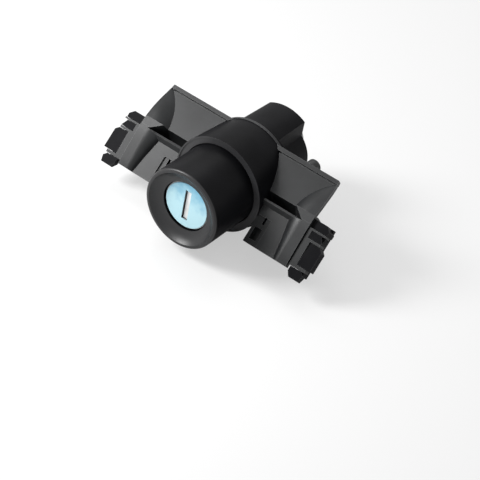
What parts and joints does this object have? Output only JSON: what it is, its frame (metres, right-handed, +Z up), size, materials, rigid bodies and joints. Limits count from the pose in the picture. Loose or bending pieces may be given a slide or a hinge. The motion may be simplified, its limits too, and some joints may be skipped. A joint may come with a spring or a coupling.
{
  "type": "boot lock cylinder",
  "caption": "Push-button lock in a moulded handle bracket: a round hooded button with a keyed plug, side clips and a cam at the rear.",
  "frame": {"origin": "on the lock axis, at the front ring of the sleeve", "axes": "+X across the bracket to the peg side, +Y along the lock axis into the boot lid, +Z up"},
  "size_m": [0.0908, 0.0657, 0.0369],
  "materials": {
    "bracket_plastic": "fine texture",
    "hood_plastic": "smooth satin",
    "button_plastic": "smooth satin",
    "case_plastic": "smooth satin",
    "clip_plastic": "smooth",
    "seal_rubber": "matte",
    "face_paint": "mottled",
    "shutter_steel": "satin",
    "lock_metal": "satin casting",
    "spring_steel": "bright",
    "screw_steel": "plated",
    "wafer_brass": "satin"
  },
  "bodies": {
    "housing": {"bracket": "bracket_plastic", "hood_sleeve": "hood_plastic", "sleeve_seal": "seal_rubber", "rear_case": "case_plastic", "case_screws": "screw_steel", "retaining_clip_left": "clip_plastic", "retaining_clip_right": "clip_plastic", "spring_seat": "screw_steel", "return_spring": "spring_steel"},
    "button": {"push_button": "button_plastic", "lock_barrel": "lock_metal", "barrel_circlip": "spring_steel"},
    "plug": {"lock_plug": "lock_metal", "face_disc": "face_paint", "plug_circlip": "spring_steel", "shutter_pin": "spring_steel", "shutter_spring": "spring_steel", "pusher_rod": "lock_metal", "pusher_cam": "lock_metal", "cam_screw": "screw_steel", "wafer_spring_1": "spring_steel", "wafer_spring_2": "spring_steel", "wafer_spring_3": "spring_steel", "wafer_spring_4": "spring_steel", "wafer_spring_5": "spring_steel", "wafer_spring_6": "spring_steel"},
    "shutter": {"slot_shutter": "shutter_steel"},
    "wafer_1_body": {"wafer_1": "wafer_brass"},
    "wafer_2_body": {"wafer_2": "wafer_brass"},
    "wafer_3_body": {"wafer_3": "wafer_brass"},
    "wafer_4_body": {"wafer_4": "wafer_brass"},
    "wafer_5_body": {"wafer_5": "wafer_brass"},
    "wafer_6_body": {"wafer_6": "wafer_brass"}
  },
  "joints": [
    {"name": "button_press", "type": "slide", "parent": "housing", "child": "button", "axis": [0, 1, 0], "range_m": [0, 0.006], "stiffness_N_per_m": 1000, "springref_m": -0.006, "deforming": ["return_spring"]},
    {"name": "plug_turn", "type": "hinge", "parent": "button", "child": "plug", "pos_m": [0, 0, 0], "axis": [0, 1, 0], "range_deg": [0, 90]},
    {"name": "shutter_swing", "type": "hinge", "parent": "plug", "child": "shutter", "pos_m": [0.0021, -0.01585, 0], "axis": [0, 0, -1], "range_deg": [0, 80], "stiffness_Nm_per_rad": 0.0005, "springref_deg": -28.65},
    {"name": "wafer_1_slide", "type": "slide", "parent": "plug", "child": "wafer_1_body", "axis": [0, 0, 1], "range_m": [0, 0.0007], "deforming": ["wafer_spring_1"]},
    {"name": "wafer_2_slide", "type": "slide", "parent": "plug", "child": "wafer_2_body", "axis": [0, 0, -1], "range_m": [0, 0.0007], "deforming": ["wafer_spring_2"]},
    {"name": "wafer_3_slide", "type": "slide", "parent": "plug", "child": "wafer_3_body", "axis": [0, 0, 1], "range_m": [0, 0.0007], "deforming": ["wafer_spring_3"]},
    {"name": "wafer_4_slide", "type": "slide", "parent": "plug", "child": "wafer_4_body", "axis": [0, 0, -1], "range_m": [0, 0.0007], "deforming": ["wafer_spring_4"]},
    {"name": "wafer_5_slide", "type": "slide", "parent": "plug", "child": "wafer_5_body", "axis": [0, 0, 1], "range_m": [0, 0.0007], "deforming": ["wafer_spring_5"]},
    {"name": "wafer_6_slide", "type": "slide", "parent": "plug", "child": "wafer_6_body", "axis": [0, 0, -1], "range_m": [0, 0.0007], "deforming": ["wafer_spring_6"]}
  ],
  "couplings": [
    {"joint": "wafer_2_slide", "follows": "wafer_1_slide", "ratio": 1},
    {"joint": "wafer_3_slide", "follows": "wafer_1_slide", "ratio": 1},
    {"joint": "wafer_4_slide", "follows": "wafer_1_slide", "ratio": 1},
    {"joint": "wafer_5_slide", "follows": "wafer_1_slide", "ratio": 1},
    {"joint": "wafer_6_slide", "follows": "wafer_1_slide", "ratio": 1}
  ]
}
